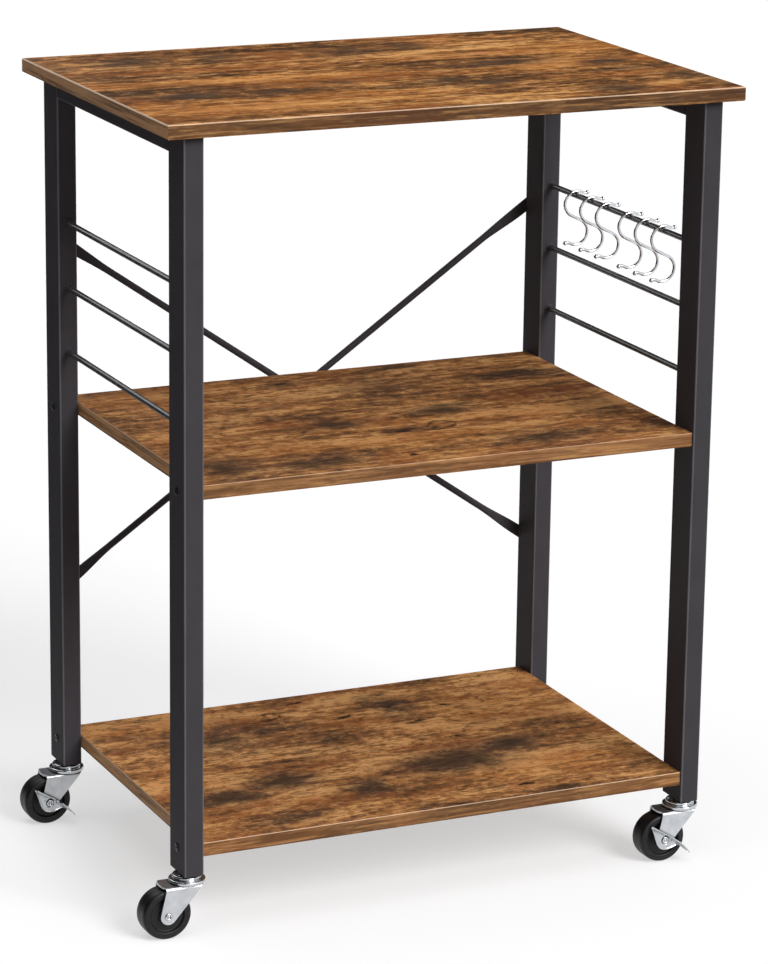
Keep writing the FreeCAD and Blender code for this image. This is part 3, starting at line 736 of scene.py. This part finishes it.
leverShape = {
    # measured from the middle of the wheel, before the tilt; edges and depth by their place along the lever
    "face": 15.7, "sheet": 1.1, "tilt": 35.0, "edge": 0.25, "fold": 1.6,
    "topEdge": [(-23, 4), (-10, 4.7), (8, 5.6), (15, 5.4), (21, 4.4), (29, 2.6)],
    "lowEdge": [(-23, 3.6), (-16, -0.8), (-10, -5.6), (-5, -9), (0, -10.4), (5, -9), (10, -5), (13.5, 0),
                (15.5, 3.2), (29, 2.2)],
    "depth": [(-23, 0.6), (-17, 4.4), (-11, 3.4), (-3, 1.7), (4, 1.9), (9, 6.5), (16, 8.6), (26, 8.6),
              (29, 5.5)],
    "dish": 0.9, "dishRadius": 5.6, "dishWidth": 1.35, "rim": 0.7, "rimWidth": 3.0,
    "droop": 0.9, "droopRise": (14, 29), "foldShare": 0.6,
    "leastPlate": 0.3, "leastFlat": 0.1, "leastReach": 0.05,
    "columns": 104, "plateRows": 16, "bendRows": 6, "flangeRows": 7,
}


def makeLevers():
    # half-moon plate with a curled low edge; past its top edge it folds outward to a depth that varies
    # the ring pressed round the axle: dish * exp(-((r - dishRadius) / dishWidth)^2)
    form = leverShape
    along = np.linspace(form["topEdge"][0][0], form["topEdge"][-1][0], form["columns"])

    def line(key):
        rounded = roundOff(form[key], passes=3)
        return np.interp(along, rounded[:, 0], rounded[:, 1])

    top, low, depth = line("topEdge"), line("lowEdge"), line("depth")
    low = np.minimum(low, top - form["leastPlate"])
    bendTop = np.maximum(top - form["fold"], low + form["leastFlat"])
    up = np.linspace(0, 1, form["plateRows"])[:, None]
    plateZ = low + (bendTop - low) * up
    fromPin = np.hypot(along + 0 * plateZ, plateZ)
    plateY = -form["face"] - form["dish"] * np.exp(-((fromPin - form["dishRadius"]) / form["dishWidth"]) ** 2)
    plateY = plateY - form["rim"] * (1 - smooth(0, form["rimWidth"], plateZ - low))
    bend = np.linspace(0, np.pi / 2, form["bendRows"])[1:, None]
    bendOut = np.minimum(form["fold"], form["foldShare"] * depth)
    bendZ = bendTop + (top - bendTop) * np.sin(bend)
    bendY = plateY[-1] - bendOut * (1 - np.cos(bend))
    out = np.linspace(0, 1, form["flangeRows"])[1:, None]
    flangeY = bendY[-1] - np.maximum(depth - bendOut, form["leastReach"]) * out
    flangeZ = bendZ[-1] - form["droop"] * smooth(*form["droopRise"], along) * out ** 2
    y = np.concatenate([plateY, bendY, flangeY])
    z = np.concatenate([plateZ, bendZ, flangeZ])
    x = along + 0 * y
    tiltCos, tiltSin = math.cos(math.radians(form["tilt"])), math.sin(math.radians(form["tilt"]))
    tilted = np.stack([x * tiltCos + z * tiltSin, y, z * tiltCos - x * tiltSin], -1)
    for corner in brakedCorners:
        grid = (middle(corner + "_wheel") + mm * tilted)[:, ::-1]
        name = plainName(corner, "BrakeLever")
        lever = addPiece(name, [(grid, False, False)], leverZinc, corner + "_brake",
                         [corner + "_brake_lever"], closed=False)
        thicken(lever, form["sheet"], form["edge"])
    print("levers made")


hookShape = {
    # span: between the middles of the two bends; seat: the wire's middle above the rod's
    "wire": 1.6, "bend": 13.4, "span": 30.0, "seat": 4.65, "tip": 62.0, "flare": 8.0, "flareTurn": 45.0,
    "ball": 2.3, "count": 6, "steps": 150, "sides": 20,
}


def makeHooks():
    # the heading turns at 1 / bend along the arc and back at 1 / flare at the tip
    # the path is the running sum of the heading, and its other half is the same turned by half a turn
    form = hookShape
    straight = math.sqrt((form["span"] / 2) ** 2 - form["bend"] ** 2)
    lean = math.acos(2 * form["bend"] / form["span"])
    touch = 1.5 * math.pi - lean
    arc = form["bend"] * (touch - math.radians(form["tip"]))
    flare = form["flare"] * math.radians(form["flareTurn"])
    total = straight + arc + flare + form["ball"]
    run = np.linspace(0, total, form["steps"])
    heading = touch - math.pi / 2
    heading = heading - np.clip(run - straight, 0, arc) / form["bend"]
    heading = heading + np.clip(run - straight - arc, 0, flare) / form["flare"]
    mid = (heading[1:] + heading[:-1]) / 2
    step = run[1]
    half = np.concatenate([[[0, 0]], np.cumsum(np.stack([np.cos(mid), np.sin(mid)], -1) * step, 0)])
    fromTip = total - run
    ball = np.sqrt(np.clip(form["ball"] ** 2 - (fromTip - form["ball"]) ** 2, 0, None))
    radius = np.where(fromTip > form["ball"], np.maximum(form["wire"], ball), ball)
    path = np.concatenate([-half[:0:-1], half])
    radius = np.concatenate([radius[:0:-1], radius])
    heading = np.concatenate([heading[:0:-1], heading])
    side = np.stack([-np.sin(heading), 0 * heading, np.cos(heading)], -1)
    turn = np.linspace(0, 2 * np.pi, form["sides"], endpoint=False)
    ring = np.cos(turn)[None, :, None] * side[:, None] + np.sin(turn)[None, :, None] * np.array([0, 1.0, 0])
    wire = np.stack([path[:, 0], 0 * radius, path[:, 1]], -1)[:, None] + radius[:, None, None] * ring
    rod = middle("right_upper_rod")
    drop = form["seat"] - form["bend"] - form["span"] / 2
    for number in range(1, form["count"] + 1):
        node = f"s_hook_{number}"
        centre = np.array([rod[0], middle(node)[1], rod[2] + drop * mm])
        grid = centre + mm * wire
        name = f"hook{number}Wire"
        addPiece(name, [(grid, False, True)], hookChrome, f"hook_{number}", [node])
    print("hooks made")


braceShape = {
    # flat: length of a tab before its bolt; taper: length of the change from round to flat
    "radius": 3.5, "tabWidth": 12.0, "tabThick": 3.0, "flat": 14.0, "taper": 58.0, "passGap": 0.4,
    "roundPower": 2, "tabPower": 7, "tipBlunt": 3, "steps": 240, "sides": 32,
}


def makeBraces():
    # across the bar: |u / a|^n + |v / b|^n = 1, round in the middle with n = 2, flat at the tabs with n = 7
    form = braceShape
    tabHalf = form["tabWidth"] / 2
    turn = np.linspace(0, 2 * np.pi, form["sides"], endpoint=False)
    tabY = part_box("rear_left_leg")[1][1] + form["tabThick"] / 2 * mm
    for node, slope, side in (("falling_brace", -1, -1), ("rising_brace", 1, 1)):
        low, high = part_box(node)
        reachX = (high[0] - low[0]) / 2 / mm - tabHalf
        reachZ = (high[2] - low[2]) / 2 / mm - tabHalf
        half = math.hypot(reachX, reachZ)
        tip = half + tabHalf
        run = tip * np.sin(np.linspace(-np.pi / 2, np.pi / 2, form["steps"]))
        flat = smooth(half - form["flat"] - form["taper"], half - form["flat"], np.abs(run))
        ending = np.sqrt(1 - np.clip((np.abs(run) - half) / tabHalf, 0, 1) ** 2)
        wide = (form["radius"] + (tabHalf - form["radius"]) * flat) * ending
        thin = form["radius"] + (form["tabThick"] / 2 - form["radius"]) * flat
        thin = thin * np.minimum(1, form["tipBlunt"] * ending)
        power = 2 / (form["roundPower"] + (form["tabPower"] - form["roundPower"]) * flat[:, None])
        u = wide[:, None] * np.sign(np.cos(turn)) * np.abs(np.cos(turn)) ** power
        v = thin[:, None] * np.sign(np.sin(turn)) * np.abs(np.sin(turn)) ** power
        barY = side * (form["radius"] + form["passGap"] / 2) * (1 - flat)
        way = np.array([reachX, 0, slope * reachZ]) / half
        across = np.array([-slope * reachZ, 0, reachX]) / half
        centre = np.array([0, tabY, (low[2] + high[2]) / 2])
        grid = run[:, None, None] * way + u[:, :, None] * across
        grid = grid + (barY[:, None] + v)[:, :, None] * np.array([0, 1.0, 0])
        grid = centre + mm * grid
        name = node.split("_")[0] + "Brace"
        addPiece(name, [(grid, False, True)], barCoat, "frame", [node], crease=50)
    print("braces made")


boltShape = {
    "brace": (6.2, 3.5), "shelf": (4.5, 1.2),             # radius and height
    # share of the radius, share of the height, share of the hexagon
    "rows": [(1, 0, 0), (1, 0.3, 0), (0.97, 0.48, 0), (0.86, 0.76, 0), (0.7, 0.94, 0), (0.56, 1, 0),
             (0.47, 1, 0.6), (0.42, 0.96, 1), (0.4, 0.9, 1), (0.39, 0.35, 1), (0.36, 0.3, 1), (0, 0.24, 1)],
    "steps": 48,
}


def boltHead(centre, axis, radius, height):
    # dome with a hexagon socket: the reach of each row goes from a circle to a hexagon
    rows = np.array(boltShape["rows"])
    profile = rows[:, :2] * [radius, height]

    def reach(profile, turn):
        sixSided = math.cos(math.pi / 6) * hexagon(turn)
        return profile[:, :1] * (1 + rows[:, 2:] * (sixSided - 1))

    return turned(profile, centre, axis, boltShape["steps"], reach), False, True


def makeBolts():
    # brace heads on the flattened ends, shelf heads on the outer faces of the legs
    braceHeads, shelfHeads = [], []
    radius, height = boltShape["brace"]
    low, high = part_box("brace_bolts")
    for x in (low[0] + radius * mm, high[0] - radius * mm):
        for z in (low[2] + radius * mm, high[2] - radius * mm):
            braceHeads.append(boltHead((x, low[1], z), (0, 1, 0), radius, height))
    radius, height = boltShape["shelf"]
    low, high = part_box("shelf_bolts")
    for shelf in ("middle_shelf", "bottom_shelf"):
        z = middle(shelf)[2]
        for y in (middle("front_left_leg")[1], middle("rear_left_leg")[1]):
            shelfHeads.append(boltHead((low[0] + height * mm, y, z), (-1, 0, 0), radius, height))
            shelfHeads.append(boltHead((high[0] - height * mm, y, z), (1, 0, 0), radius, height))
    addPiece("braceBoltHeads", braceHeads, boltBlack, "frame", ["brace_bolts"])
    addPiece("shelfBoltHeads", shelfHeads, boltBlack, "frame", ["shelf_bolts"])
    print("bolts made")


weldShape = {
    "bead": [(3.0, 2.6), (3.0, 2.4), (3.5, 1.5), (4.3, 0.9), (4.9, 0.4), (5.0, 0.0), (4.6, -0.4),
             (2.6, -0.4)],
    "rod": 3.0, "foot": 5.0, "lumps": 5, "lump": 0.06, "shift": 2, "steps": 40,
}


def makeWelds():
    # bead round each rod's end, lumpy round the turn: r * (1 + lump * swell * sin(lumps * turn + shift))
    form = weldShape
    profile = roundOff(form["bead"], passes=2)
    grids = []
    for side in ("left", "right"):
        for count, tier in enumerate(("lower", "middle", "upper")):
            low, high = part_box(f"{side}_{tier}_rod")
            x, _, z = middle(f"{side}_{tier}_rod")

            def reach(profile, turn):
                swell = np.clip(profile[:, :1] - form["rod"], 0, None) / (form["foot"] - form["rod"])
                wave = np.sin(form["lumps"] * turn + form["shift"] * count)
                return profile[:, :1] * (1 + form["lump"] * swell * wave)

            grids.append((turned(profile, (x, low[1], z), (0, 1, 0), form["steps"], reach), False, True))
            grids.append((turned(profile, (x, high[1], z), (0, -1, 0), form["steps"], reach), False, True))
    addPiece("rodWelds", grids, barCoat, "frame", [], crease=60)
    print("welds made")


makeWheels()
makeAxles()
makeStems()
makeForks()
makeLevers()
makeHooks()
makeBraces()
makeBolts()
makeWelds()


studio = {
    "ambient": 0.18,
    "key": {"from": (0.3, -0.76, 0.574), "strength": 2.55, "angle": 30},
    "top": {"from": (-0.1, -0.12, 0.99), "strength": 0.95, "angle": 50},
    "strip": {"place": (-0.47, 1.06, 1.09), "aim": (-0.28, 0, 0.56), "size": (0.8, 0.6), "power": 3.6},
    "floor": tint(188, 188, 189),
    "floorHalf": 40.0,
    "bounce": tint(170, 170, 170),
    "glow": 0.55,
    "felt": (tint(12, 12, 12), tint(20, 20, 20), 0.9),
    # left screen, back screen and a cloth on the floor at the left, each by two opposite corners
    "cards": [((-0.75, -1.2, 0.02), (-0.75, 2.4, 2.0)), ((-3.0, 2.4, 0.02), (3.0, 2.4, 3.6)),
              ((-0.75, -1.2, 0.002), (-0.45, 2.4, 0.002))],
}


def seenDirectly(finish):
    # 1 for rays from the camera, mirrors and glass
    outputs = ("Is Camera Ray", "Is Glossy Ray", "Is Transmission Ray")
    camera, glossy, through = finish.add("ShaderNodeLightPath", output=outputs)
    return camera.most(glossy).most(through)


def addToScene(name, content):
    holder = bpy.data.objects.new(name, content)
    bpy.context.scene.collection.objects.link(holder)
    return holder


def makeWorld():
    # white to the camera and in reflections, a soft ambient light to everything else
    world = bpy.data.worlds.new("studio")
    bpy.context.scene.world = world
    finish = Finish(world)
    finish.tree.nodes.clear()
    soft = finish.add("ShaderNodeBackground", {}, {0: (1, 1, 1, 1), 1: studio["ambient"]})
    white = finish.add("ShaderNodeBackground", {}, {0: (1, 1, 1, 1), 1: 1.0})
    shown = finish.add("ShaderNodeMixShader", {}, {0: seenDirectly(finish), 1: soft, 2: white})
    finish.add("ShaderNodeOutputWorld", {}, {0: shown}, output=())
    print("world set")


def makeFloor():
    # glows enough to look white, but bounces only a plain grey onto the rack
    paint = Finish(bpy.data.materials.new("floorPaint"))
    paint.tree.nodes.clear()
    matt = paint.add("ShaderNodeBsdfDiffuse", {}, {0: studio["floor"]})
    dull = paint.add("ShaderNodeBsdfDiffuse", {}, {0: studio["bounce"]})
    glow = paint.add("ShaderNodeEmission", {}, {0: (1, 1, 1, 1), 1: studio["glow"]})
    lit = paint.add("ShaderNodeAddShader", {}, {0: matt, 1: glow})
    shown = paint.add("ShaderNodeMixShader", {}, {0: seenDirectly(paint), 1: dull, 2: lit})
    paint.add("ShaderNodeOutputMaterial", {}, {0: shown}, output=())
    half = studio["floorHalf"]
    mesh = bpy.data.meshes.new("floor")
    square = [(-half, -half, 0), (half, -half, 0), (half, half, 0), (-half, half, 0)]
    mesh.from_pydata(square, [], [(0, 1, 2, 3)])
    mesh.materials.append(paint.owner)
    floor = addToScene("floor", mesh)
    print("floor laid")


def makeCards():
    # dark screens that show only in reflections
    felt = plasticFinish("felt", *studio["felt"])
    for number, ((x0, y0, z0), (x1, y1, z1)) in enumerate(studio["cards"]):
        mesh = bpy.data.meshes.new("card")
        outline = [(x0, y0, z0), (x0, y1, z0), (x1, y1, z1), (x1, y0, z1)]
        if y0 == y1:
            outline = [(x0, y0, z0), (x1, y0, z0), (x1, y1, z1), (x0, y1, z1)]
        mesh.from_pydata(outline, [], [(0, 1, 2, 3)])
        mesh.materials.append(felt)
        card = addToScene(f"card{number}", mesh)
        card.visible_camera = card.visible_diffuse = card.visible_shadow = False
    print("cards hung")


def makeLamps():
    # two soft suns and a lamp that shows in gloss only, as the light line along the rods
    for name in ("key", "top"):
        form = studio[name]
        lamp = bpy.data.lights.new(name, "SUN")
        lamp.energy = form["strength"]
        lamp.angle = math.radians(form["angle"])
        holder = addToScene(name, lamp)
        holder.rotation_euler = Vector(form["from"]).to_track_quat("Z", "Y").to_euler()
    form = studio["strip"]
    lamp = bpy.data.lights.new("strip", "AREA")
    lamp.shape = "RECTANGLE"
    lamp.energy = form["power"]
    lamp.size, lamp.size_y = form["size"]
    holder = addToScene("strip", lamp)
    holder.location = form["place"]
    holder.rotation_euler = (Vector(form["place"]) - Vector(form["aim"])).to_track_quat("Z", "Y").to_euler()
    holder.visible_camera = holder.visible_diffuse = False
    print("lamps lit")


# degrees, metres, and the lens in millimetres
cameraShape = {
    "yaw": 24.64, "pitch": 15.61, "roll": 0.76, "place": (-1.541, -3.385, 1.421),
    "lens": 142.48, "farthest": 200,
}


def makeCamera():
    # yaw from +Y towards +X, pitch downwards, roll about the line of sight
    yaw, pitch, roll = (math.radians(cameraShape[key]) for key in ("yaw", "pitch", "roll"))
    ahead = np.array([math.sin(yaw) * math.cos(pitch), math.cos(yaw) * math.cos(pitch), -math.sin(pitch)])
    right = np.array([math.cos(yaw), -math.sin(yaw), 0])
    up = np.cross(right, ahead)
    side = math.cos(roll) * right + math.sin(roll) * up
    top = math.cos(roll) * up - math.sin(roll) * right
    lens = bpy.data.cameras.new("camera")
    lens.lens = cameraShape["lens"]
    lens.clip_end = cameraShape["farthest"]
    camera = addToScene("camera", lens)
    turn = Matrix(np.stack([side, top, -ahead], -1).tolist()).to_4x4()
    camera.matrix_world = Matrix.Translation(cameraShape["place"]) @ turn
    bpy.context.scene.camera = camera
    bpy.context.scene.view_settings.view_transform = "Standard"
    print("camera set")


makeWorld()
makeFloor()
makeCards()
makeLamps()
makeCamera()

bpy.context.view_layer.update()
